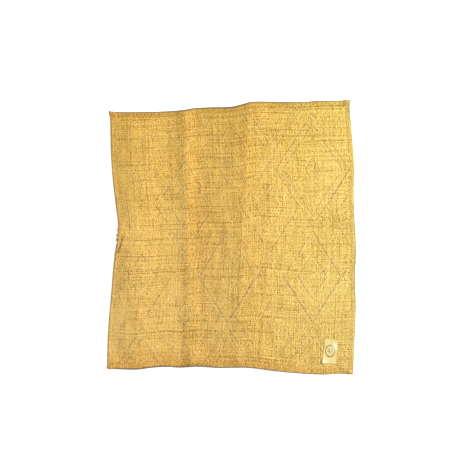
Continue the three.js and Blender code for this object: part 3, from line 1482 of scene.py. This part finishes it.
# How far the sides of one lozenge differ in clearness, and the faintest that is stitched.
UNEVEN = (0.8, 1.35)
FAINTEST = 0.1
LARGE = ((65.0, 105.0), (33.0, 52.0), (8.0, 20.0))
SMALL = ((16.0, 28.0), (68.0, 105.0), (84.0, 130.0))
NESTS = (
    Nest(0, 155, SMALL, (0.6, 0.0, 0.0)),
    Nest(2, 155, SMALL, (0.5, 0.0, 0.0)),
    Nest(4, 155, SMALL, (0.6, 0.6, 0.7)),
    Nest(0, -90, LARGE, (0.4, 0.5, 0.2)),
    Nest(2, -90, LARGE, (0.7, 0.4, 0.2)),
    Nest(4, -90, LARGE, (0.9, 0.8, 0.4)),
    Nest(0, -335, SMALL, (0.0, 0.7, 0.6)),
    Nest(2, -335, SMALL, (0.0, 0.4, 0.5)),
    Nest(4, -335, SMALL, (0.0, 0.7, 0.6)),
    Nest(1, 315, SMALL, (0.0, 0.3, 0.3)),
    Nest(3, 315, SMALL, (0.0, 0.6, 0.6)),
    Nest(1, 70, LARGE, (0.6, 0.5, 0.4)),
    Nest(3, 70, LARGE, (0.6, 0.5, 0.2)),
    Nest(5, 70, LARGE, (0.7, 0.7, 0.0)),
    Nest(1, -175, SMALL, (0.8, 0.0, 0.4)),
    Nest(3, -175, SMALL, (0.6, 0.0, 0.6)),
    Nest(5, -175, SMALL, (0.7, 0.0, 0.6)),
)

# Dark stitches laid as painted shade along the folds below the nick.
FOLD_SHADE_LINES = (
    Run(-250.5, -5, -254.5, -20, 1.7),
    Run(-254.5, -20, -261, -36, 1.8),
    Run(-247, 5, -250.5, -5, 1.1),
)

# Dark knots and yarn ends, read and rounded to about 5 mm.
KNOTS = (
    Knots(-257, 30, 0.8, 1.2, 3),
    Knots(-253, 45, 2.5, 0.9, 4),
    Knots(75, 15, 5, 7, 6),
    Knots(90, -25, 4, 7, 5),
    Knots(-75, 110, 5, 15, 7),
    Knots(75, 115, 8, 10, 7),
    Knots(255, 150, 6, 35, 9),
    Knots(260, 90, 4, 20, 5),
    Knots(0, -145, 9, 18, 11),
    Knots(25, -140, 8, 10, 3),
    Knots(40, -205, 4, 12, 3),
    Knots(-110, -200, 7, 4, 3),
    Knots(185, -120, 5, 10, 3),
    Knots(205, -75, 5, 22, 5),
    Knots(195, -130, 3, 12, 4),
    Knots(160, -35, 6, 14, 3),
)


@dataclass
class Embroidery:
    """The reverse of the embroidery: short broken stitches along each lozenge's sides."""

    panel: Panel
    keep_off: "Label"
    pitch: float = 3.8
    stitch: float = 4.4
    half_wide: float = 0.68
    half_tall: float = 0.32
    wander: float = 0.3
    pale_pitch: float = 3.4
    pale_way: tuple[float, float] = (2.0, 6.0)
    hem_layer: float = 1.35
    hem_width: float = 13.0
    seed: int = 71

    def stitches(self, run: Run, draw: np.random.Generator) -> Array:
        """Lay the stitches of one run.

        Args:
            run: the run.
            draw: the source of chance.

        Returns:
            Rows of middle x and y, half steps in x and y, swell and tone.
        """
        way = np.array([run.x1 - run.x0, run.y1 - run.y0])
        far = float(np.hypot(*way))
        count = max(int(far / self.pitch), 2)
        along = (np.arange(count) + 0.5 + draw.uniform(-0.2, 0.2, count)) / count
        along = along[draw.random(count) < 0.82 + 0.18 * run.strength]
        count = len(along)
        turn = math.atan2(way[1], way[0]) + draw.normal(0, 0.08, count)
        side = draw.normal(0, self.wander, count)
        x = run.x0 + along * way[0] - side * way[1] / far
        y = run.y0 + along * way[1] + side * way[0] / far
        half = self.stitch / 2 * draw.uniform(0.7, 1.25, count)
        swell = (0.7 + 0.4 * run.strength) * draw.uniform(0.85, 1.15, count)
        tone = 0.76 - 0.32 * run.strength + draw.normal(0, 0.08, count)
        dark = draw.random(count) < 0.02 + 0.1 * run.strength**2
        tone = np.where(dark, draw.uniform(0.02, 0.2, count), tone)
        return np.stack([x, y, half * np.cos(turn), half * np.sin(turn), swell, tone], 1)

    def pale_stitches(self, run: Run, draw: np.random.Generator) -> Array:
        """Lay the pale cut ends of the pile's yarn on both sides of a run.

        Args:
            run: the run.
            draw: the source of chance.

        Returns:
            Rows of middle x and y, half steps in x and y, swell and tone.
        """
        way = np.array([run.x1 - run.x0, run.y1 - run.y0])
        far = float(np.hypot(*way))
        count = int(2 * far / self.pale_pitch * run.strength)
        along = draw.random(count)
        side = draw.uniform(*self.pale_way, count) * draw.choice([-1, 1], count)
        x = run.x0 + along * way[0] - side * way[1] / far
        y = run.y0 + along * way[1] + side * way[0] / far
        turn = draw.choice([0.0, math.pi / 2], count, p=[0.35, 0.65]) + draw.normal(0, 0.12, count)
        half = self.stitch / 2 * draw.uniform(0.5, 1.0, count)
        swell = draw.uniform(0.7, 1.0, count)
        tone = draw.uniform(0.8, 0.97, count)
        return np.stack([x, y, half * np.cos(turn), half * np.sin(turn), swell, tone], 1)

    def knots(self, draw: np.random.Generator) -> Array:
        """Lay the dark knots, in the same rows as the stitches."""
        rows = []
        for knot in KNOTS:
            for _ in range(knot.count):
                turn = draw.choice([0.0, math.pi / 2, 1.2]) + draw.normal(0, 0.2)
                half = draw.uniform(0.7, 1.4)
                x = knot.x + draw.normal(0, knot.spread_x * 0.6)
                y = knot.y + draw.normal(0, knot.spread_y * 0.6)
                step = (half * math.cos(turn), half * math.sin(turn))
                rows.append([x, y, *step, draw.uniform(1.1, 1.6), draw.uniform(0.0, 0.14)])
        return np.array(rows)

    def chain(self, rows: Array, upper: bool) -> tuple[Array, Array, Array]:
        """Give the places and sizes of the stitches.

        Args:
            rows: the stitches.
            upper: whether they lie on the upper face.

        Returns:
            The chains, half breadths and half heights.
        """
        shares = np.array([-1.0, -0.72, 0.0, 0.72, 1.0])
        x = rows[:, :1] + rows[:, 2:3] * shares
        y = rows[:, 1:2] + rows[:, 3:4] * shares
        swell = rows[:, 4:5]
        if upper:
            z = self.panel.top(x, y) + np.array([-0.3, -0.04, 0.06, -0.04, -0.3])
            tall = self.half_tall
        else:
            z = self.panel.height(x, y) + np.array([0.3, 0.05, 0.0, 0.05, 0.3])
            tall = self.half_tall / 2
        shape = np.array([[0.8, 1.0, 0.8]])
        chains = np.stack([x, y, z], -1)
        return chains, self.half_wide * swell * shape, tall * swell * shape

    def build(self) -> bpy.types.Object:
        """Make all stitches, and where the same yarn shows on the face below.

        Returns:
            The new object.
        """
        draw = np.random.default_rng(self.seed)
        runs = [run for nest in NESTS for run in nest.runs(draw)]
        rows = np.concatenate([self.stitches(run, draw) for run in runs])
        rows = rows[self.panel.inside(rows[:, 0], rows[:, 1], self.hem_width)]
        pale = np.concatenate([self.pale_stitches(run, draw) for run in runs])
        pale = pale[self.panel.inside(pale[:, 0], pale[:, 1], self.hem_width)]
        shown = np.concatenate([pale, rows, self.knots(draw)])
        shown = shown[~self.keep_off.covers(shown[:, 0], shown[:, 1])]
        heap = YarnHeap("embroidery", 4)
        heap.add(*self.chain(shown, True), shown[:, 5])
        # Dark stitches as painted shade in the folds below the nick, raised by one layer of cloth.
        worn = np.concatenate([self.stitches(run, draw) for run in FOLD_SHADE_LINES])
        chains, wide, tall = self.chain(worn, True)
        chains[..., 2] += self.hem_layer
        heap.add(chains, wide, tall, worn[:, 5])
        below = rows.copy()
        below[:, 0] += below[:, 2] * 1.5
        below[:, 1] += below[:, 3] * 1.5
        heap.add(*self.chain(below, False), below[:, 5])
        return heap.build(self.panel, Yarn.EMBROIDERY)


class Edge(Enum):
    """The four edges, with the way that points outwards of each, in degrees."""

    LEFT = 180
    RIGHT = 0
    LOWER = 270
    UPPER = 90

    def place(self, panel: Panel, along: Array, inwards: Array) -> tuple[Array, Array]:
        """Turn a place beside the edge into a plan place.

        Args:
            panel: where the cloth lies.
            along: the way along the edge, from the left or from below.
            inwards: the way in from the edge.

        Returns:
            The plan place.
        """
        spots = {
            Edge.LEFT: (inwards, along),
            Edge.RIGHT: (panel.breadth - inwards, along),
            Edge.LOWER: (along, inwards),
            Edge.UPPER: (along, panel.length - inwards),
        }
        return panel.lie(*spots[self])


@dataclass(frozen=True)
class Seam:
    """A row of hem stitches: along which edge, from where to where, and how it looks.

    start and end are places along the edge. tone is 0 for dark brown and 1 for straw.
    """

    edge: Edge
    start: float
    end: float
    pitch: float
    tone: float


SEAMS = (
    Seam(Edge.UPPER, 16, 118, 11, 0.8),
    Seam(Edge.UPPER, 118, 190, 9, 0.6),
    Seam(Edge.UPPER, 190, 318, 8, 0.6),
    Seam(Edge.UPPER, 318, 546, 4.6, 0.3),
    Seam(Edge.LOWER, 14, 200, 10, 0.8),
    Seam(Edge.LOWER, 200, 400, 7.5, 0.45),
    Seam(Edge.LOWER, 400, 545, 10, 0.8),
    Seam(Edge.LEFT, 16, 592, 11, 0.85),
    Seam(Edge.RIGHT, 16, 592, 11, 0.85),
)


@dataclass
class HemStitches:
    """The stitches that hold the hems down, slanted over each hem's free edge."""

    cloth: Cloth
    length: float = 4.6
    half_wide: float = 0.5
    half_tall: float = 0.32
    slant: float = 0.75
    seed: int = 37

    def build(self) -> bpy.types.Object:
        """Make all hem stitches.

        Returns:
            The new object.
        """
        draw = np.random.default_rng(self.seed)
        heap = YarnHeap("hem_stitches", 6)
        panel = self.cloth.panel
        layer = panel.cloth + self.cloth.layer_gap
        for seam in SEAMS:
            at_end = seam.edge in (Edge.UPPER, Edge.LOWER)
            hem = self.cloth.end_hem if at_end else self.cloth.side_hem
            phase = 0.7 if seam.edge in (Edge.LEFT, Edge.LOWER) else 2.9
            count = int((seam.end - seam.start) / seam.pitch)
            middle = seam.start + (np.arange(count) + 0.5) * seam.pitch
            middle = middle + draw.normal(0, 0.15 * seam.pitch, count)
            edge = hem + self.cloth.wander(middle - self.cloth.inset, phase) * -1
            turn = self.slant + draw.normal(0, 0.2, count)
            half = self.length / 2 * draw.uniform(0.8, 1.2, count)
            shares = np.array([-1.0, -0.75, -0.1, 0.55, 1.0])
            along = middle[:, None] + (half * np.cos(turn))[:, None] * shares
            inwards = edge[:, None] + (half * np.sin(turn))[:, None] * shares
            x, y = seam.edge.place(panel, along, inwards)
            rise = np.array([layer * 0.8, layer * 0.85, layer * 0.45, 0.12, -0.3])
            z = panel.top(x, y) + rise
            shape = np.array([[0.85, 1.0, 0.85]])
            grow = draw.uniform(0.85, 1.15, (count, 1))
            tone = seam.tone + draw.normal(0, 0.1, count)
            chains = np.stack([x, y, z], -1)
            heap.add(chains, self.half_wide * grow * shape, self.half_tall * grow * shape, tone)
        return heap.build(panel, Yarn.SEWING)


@dataclass(frozen=True)
class Tuft:
    """Some frayed ends: on which edge and where along it, which way they point, and how long.

    turn is how far they lean from straight outwards, in degrees, anticlockwise.
    """

    edge: "Edge"
    along: float
    turn: float
    length: float
    count: int
    tone: float
    spread: float = 28
    rise: float = 1.2
    swell: float = 1.0


TUFTS = (
    Tuft(Edge.UPPER, 3, 28, 1.6, 4, 0.4),
    Tuft(Edge.LOWER, 2, -38, 1.4, 4, 0.4),
    Tuft(Edge.LOWER, 553, 30, 1.2, 3, 0.4),
    Tuft(Edge.UPPER, 553, -35, 1.4, 4, 0.4),
    Tuft(Edge.LEFT, 338, 0, 1.5, 4, 0.0, 20, 0.5, 1.7),
    Tuft(Edge.LEFT, 327, 0, 4.0, 9, 0.42, 20, 0.8, 2.4),
    Tuft(Edge.LEFT, 329, 10, 5.0, 2, 0.05, 14, 0.8, 1.2),
    Tuft(Edge.LEFT, 317, 5, 4.0, 9, 0.4, 20, 0.8, 2.4),
    Tuft(Edge.LEFT, 318, 5, 5.0, 2, 0.05, 14, 0.8, 1.2),
    Tuft(Edge.LEFT, 306, 5, 3.6, 8, 0.32, 20, 0.8, 2.1),
    Tuft(Edge.LEFT, 305, 5, 4.6, 3, 0.05, 14, 0.8, 1.2),
    Tuft(Edge.LEFT, 290, 10, 2.2, 5, 0.3, 28, 0.8, 1.4),
    Tuft(Edge.LEFT, 272, 20, 2.0, 6, 0.3, 28, 0.8, 1.4),
    Tuft(Edge.LEFT, 430, 0, 1.4, 3, 0.5),
    Tuft(Edge.LEFT, 120, 0, 1.4, 3, 0.5),
    Tuft(Edge.RIGHT, 494, 10, 1.8, 4, 0.3),
    Tuft(Edge.RIGHT, 247, -8, 2.2, 5, 0.3),
    Tuft(Edge.RIGHT, 149, -5, 1.8, 4, 0.35),
    Tuft(Edge.RIGHT, 366, 5, 1.4, 3, 0.5),
    Tuft(Edge.UPPER, 322, -10, 1.6, 3, 0.4),
    Tuft(Edge.LOWER, 222, 0, 1.6, 3, 0.5),
    Tuft(Edge.LOWER, 408, 0, 1.4, 3, 0.5),
)


@dataclass
class Frays:
    """Raffia ends that stand out from the folded edges."""

    panel: Panel
    half_wide: float = 0.42
    half_tall: float = 0.16
    inside: float = 3.2
    scatter: float = 2.2
    seed: int = 43

    def build(self) -> bpy.types.Object:
        """Make all frayed ends.

        Returns:
            The new object.
        """
        draw = np.random.default_rng(self.seed)
        heap = YarnHeap("frayed_ends", 4)
        shares = np.array([0.0, 0.12, 0.42, 0.72, 0.9, 1.0])
        for tuft in TUFTS:
            count = tuft.count
            outwards = tuft.edge.value + tuft.turn
            turn = np.radians(outwards + draw.normal(0, tuft.spread, count))
            bend = draw.normal(0, 0.35, count)
            far = self.inside + tuft.length * draw.uniform(0.55, 1.15, count)
            heading = turn[:, None] + bend[:, None] * shares
            along = tuft.along + draw.normal(0, self.scatter, count)
            root_x, root_y = tuft.edge.place(self.panel, along, np.full(count, self.inside))
            x = root_x[:, None] + far[:, None] * shares * np.cos(heading)
            y = root_y[:, None] + far[:, None] * shares * np.sin(heading)
            base = self.panel.height(x, y)
            start = draw.uniform(0.5, 1.8, count)[:, None]
            lift = draw.uniform(-0.6, tuft.rise, count)[:, None]
            z = np.maximum(base + start + lift * shares**2, 0.3)
            grow = draw.uniform(0.7, 1.25, (count, 1)) * tuft.swell
            shape = np.array([[0.9, 1.0, 0.8, 0.5]])
            tone = tuft.tone + draw.normal(0, 0.1, count)
            chains = np.stack([x, y, z], -1)
            heap.add(chains, self.half_wide * grow * shape, self.half_tall * grow * shape, tone)
        return heap.build(self.panel, Yarn.STRAND)


@dataclass(frozen=True)
class LabelCard:
    """The label's finish: smooth cream with a worn ink ring and a plain numeral in it, with a painted
    highlight at the upper right and on the curled lower left corner.
    """

    ring_half_wide: float = 10.6
    ring_half_tall: float = 13
    ring_x: float = -0.6
    ring_y: float = 1.2
    ink_line: float = 0.95
    thinner: float = 0.35
    cream: Colour = tint(227, 208, 140)
    # Colour of the painted highlight (glare) at the upper right.
    pale: Colour = tint(248, 238, 200)
    worn: Colour = tint(222, 190, 120)
    ink: Colour = tint(92, 82, 48)
    # Colour of the painted highlight on the curled lower left corner.
    flap: Colour = tint(252, 238, 212)
    glare_x: float = 9
    glare_y: float = 11
    # Strokes of the numeral 47: start and end, from the ring's middle.
    strokes: tuple[tuple[float, float, float, float], ...] = (
        (-2.4, 5.5, -6.2, -1.2),
        (-6.2, -1.2, -0.6, -1.2),
        (-2.0, 1.6, -2.2, -5.2),
        (0.8, 5.2, 5.8, 5.2),
        (5.8, 5.2, 2.6, -5.0),
    )

    def make(self, width: float, height: float) -> bpy.types.Material:
        """Make the material.

        Args:
            width: the label's width.
            height: the label's height.

        Returns:
            The finished material.
        """
        shop = NodeShop("label_card_cream")
        flat = shop.node("ShaderNodeUVMap", {"uv_map": UV_NAME}, {})
        u, v, _ = shop.split(flat)
        x = (u - 0.5) * width
        y = (v - 0.5) * height
        wobble = shop.noise(shop.point(x / 3.5, y / 3.5, 1.0), 2.0)
        blot = shop.noise(shop.point(x / 1.6, y / 1.6, 6.0), 2.0)
        soil = shop.noise(shop.point(x / 13, y / 17, 12.0), 3.0, 0.6)
        ring_x = x - self.ring_x
        ring_y = y - self.ring_y
        reach_x = ring_x / self.ring_half_wide
        reach_y = ring_y / self.ring_half_tall
        round_way = (reach_x * reach_x + reach_y * reach_y) ** 0.5
        from_ring = abs(round_way - 1 + wobble * 0.02) * self.ring_half_wide
        nearest = from_ring
        for stroke in self.strokes:
            nearest = nearest.least(self.stroke_distance(ring_x, ring_y, stroke) + self.thinner)
        ink = (nearest + wobble * 0.3).rise(self.ink_line * 1.5, self.ink_line * 0.5)
        faded = (x * 0.05 + y * 0.04 + blot * 0.9).rise(1.0, 0.0)
        ink = ink * (0.45 + 0.55 * faded) * 0.9
        rim_x = abs(x) - width / 2
        rim_y = abs(y) - height / 2
        rim = rim_x.most(rim_y).rise(-2.6, -0.2)
        shade = (soil * 0.5 + blot * 0.35 + rim * 0.6 + 0.15).between(0.0, 1.0)
        colour = shop.blend(shade, self.cream, self.worn)
        # Painted highlight (glare) at the upper right.
        off_x = x - self.glare_x
        off_y = (y - self.glare_y) * 0.6
        glare = ((off_x * off_x + off_y * off_y) ** 0.5 + blot * 3).rise(9.0, 1.0)
        colour = shop.blend(glare * 0.85, colour, self.pale)
        # Painted highlight on the curled lower left corner.
        corner = ((x + width / 2) ** 2.0 + ((y + height / 2) * 0.42) ** 2.0) ** 0.5
        colour = shop.blend(corner.rise(8.5, 2.5) * 0.7, colour, self.flap)
        colour = shop.blend(ink, colour, self.ink)
        weave = shop.noise(shop.point(x * 2.2, y * 2.2, 15.0), 2.0, 0.6)
        roughness = 0.42 + soil * 0.05 + ink * 0.2
        relief = shop.bump(weave * 0.4 + wobble * 0.8, 0.12)
        return shop.finish(colour, roughness, relief, 0.5)

    @staticmethod
    def stroke_distance(x: Wire, y: Wire, stroke: tuple[float, float, float, float]) -> Wire:
        """Give the way to a straight pen stroke.

        Args:
            x: places across.
            y: places up.
            stroke: the stroke's two ends.

        Returns:
            The distance.
        """
        x0, y0, x1, y1 = stroke
        dx, dy = x1 - x0, y1 - y0
        far = dx * dx + dy * dy
        share = (((x - x0) * dx + (y - y0) * dy) / far).between(0.0, 1.0)
        off_x = x - x0 - share * dx
        off_y = y - y0 - share * dy
        return (off_x * off_x + off_y * off_y) ** 0.5


@dataclass
class Label:
    """The small cream label near the lower right corner, its lower left corner curled up."""

    panel: Panel
    x: float = 226
    y: float = -262
    width: float = 31.5
    height: float = 55.5
    thickness: float = 0.4
    turn: float = 5.5
    curl: float = 3.2
    curl_reach: float = 16
    seat: float = 0.15
    columns: int = 26
    rows: int = 44

    def covers(self, x: Array, y: Array) -> Array:
        """Tell which plan places lie under the label or right beside it."""
        angle = math.radians(self.turn)
        across = (x - self.x) * math.cos(angle) - (y - self.y) * math.sin(angle)
        up = (x - self.x) * math.sin(angle) + (y - self.y) * math.cos(angle)
        spare = 1.5
        return (np.abs(across) < self.width / 2 + spare) & (np.abs(up) < self.height / 2 + spare)

    def build(self) -> bpy.types.Object:
        """Make the label.

        Returns:
            The new object.
        """
        across = np.linspace(-self.width / 2, self.width / 2, self.columns + 1)
        up = np.linspace(-self.height / 2, self.height / 2, self.rows + 1)
        a, b = np.meshgrid(across, up, indexing="ij")
        a, b = a.ravel(), b.ravel()
        angle = math.radians(-self.turn)
        x = self.x + a * math.cos(angle) - b * math.sin(angle)
        y = self.y + a * math.sin(angle) + b * math.cos(angle)
        away = np.hypot(a + self.width / 2, b + self.height / 2) / self.curl_reach
        curl = self.curl * (1 - np.minimum(away, 1)) ** 1.7
        bow = 0.25 * np.sin(b / 9 + 1) * (a / self.width) ** 2
        z = self.panel.top(x, y) + self.seat + self.thickness / 2 + curl + bow
        number = np.arange(len(a)).reshape(self.columns + 1, self.rows + 1)
        quads = np.stack(
            [number[:-1, :-1], number[1:, :-1], number[1:, 1:], number[:-1, 1:]], -1
        )
        made = bpy.data.meshes.new("cream_label")
        corners = self.panel.to_frame(x, y, z)
        made.from_pydata(corners.tolist(), [], quads.reshape(-1, 4).tolist())
        flat = np.stack([a / self.width + 0.5, b / self.height + 0.5], -1)
        set_flat_map(made, flat)
        made.materials.append(LabelCard().make(self.width, self.height))
        piece = bpy.data.objects.new("cream_label", made)
        bpy.context.scene.collection.objects.link(piece)
        thicken(piece, self.thickness)
        return piece


@dataclass
class Studio:
    """The pale table, the soft light and the camera straight above the cloth."""

    floor_size: float = 4.0
    view_width: float = 1.0555
    lens: float = 85.0
    aim_x: float = -0.0041
    aim_y: float = 0.0169
    key_power: float = 98.0
    key_size: float = 1.1
    key_place: tuple[float, float, float] = (2.3, 0.55, 1.15)
    fill_strength: float = 0.56
    floor_glow: float = 0.55

    def build(self) -> None:
        """Make the table top, the lights and the camera."""
        scene = bpy.context.scene
        scene.view_settings.view_transform = "Standard"
        scene.view_settings.look = "None"
        self.make_floor()
        self.make_sky(scene)
        self.make_key(scene)
        self.make_camera(scene)

    def make_floor(self) -> None:
        """Make the pale table top."""
        bpy.ops.object.select_all(action="DESELECT")
        bpy.ops.mesh.primitive_plane_add(size=self.floor_size)
        floor = bpy.context.object
        floor.name = "table_top"
        shop = NodeShop("pale_table")
        place = shop.node("ShaderNodeTexCoord", {}, {}, "Object")
        cloud = shop.noise(place, 2.0)
        colour = shop.ramp(cloud * 0.5 + 0.5, ((0.0, tint(246, 246, 245)), (1.0, tint(250, 250, 250))))
        shop.shader.inputs["Emission Color"].default_value = (1, 1, 1, 1)
        shop.shader.inputs["Emission Strength"].default_value = self.floor_glow
        floor.data.materials.append(shop.finish(colour, 0.8, None, 0.1))

    def make_sky(self, scene: bpy.types.Scene) -> None:
        """Make the soft light from all round."""
        world = bpy.data.worlds.new("soft_room")
        world.use_nodes = True
        sky = world.node_tree.nodes["Background"]
        sky.inputs["Color"].default_value = (1.0, 1.0, 1.0, 1.0)
        sky.inputs["Strength"].default_value = self.fill_strength
        scene.world = world

    def make_key(self, scene: bpy.types.Scene) -> None:
        """Make the main light, low on the right, so that the waves and threads show."""
        light = bpy.data.lights.new("key_light", "AREA")
        light.energy = self.key_power
        light.size = self.key_size
        light.color = (1.0, 0.985, 0.96)
        lamp = bpy.data.objects.new("key_light", light)
        lamp.location = self.key_place
        lamp.rotation_euler = Vector(self.key_place).to_track_quat("Z", "Y").to_euler()
        scene.collection.objects.link(lamp)

    def make_camera(self, scene: bpy.types.Scene) -> None:
        """Make the camera, straight above and as far off as its lens asks."""
        eye = bpy.data.cameras.new("camera")
        eye.lens = self.lens
        away = self.view_width * self.lens / eye.sensor_width
        camera = bpy.data.objects.new("camera", eye)
        camera.location = (self.aim_x, self.aim_y, away)
        scene.collection.objects.link(camera)
        scene.camera = camera


def main() -> None:
    """Build the cloth and all that is on it, and report each piece."""
    logging.basicConfig(level=logging.INFO, format="%(message)s")
    panel = Panel()
    threads = Threads()
    label = Label(panel)
    cloth = Cloth(panel, threads)
    strands = AccentStrands(panel, threads, label)

    sheet = cloth.build()
    dress(sheet, "raffia", "cloth")
    card = label.build()
    dress(card, "label_card", "label")
    trims = [
        Embroidery(panel, label).build(),
        HemStitches(cloth).build(),
        strands.build(True),
        strands.build(False),
        Frays(panel).build(),
    ]
    for trim in trims:
        dress(trim, "raffia")
    Studio().build()
    size = (label.width * MM, label.height * MM)
    cloth.cut_size()
    for piece in [sheet, card, *trims]:
        triangles = sum(len(face.vertices) - 2 for face in piece.data.polygons)
        LOG.info("%s: %d triangles", piece.name, triangles)


if __name__ == "__main__":
    main()
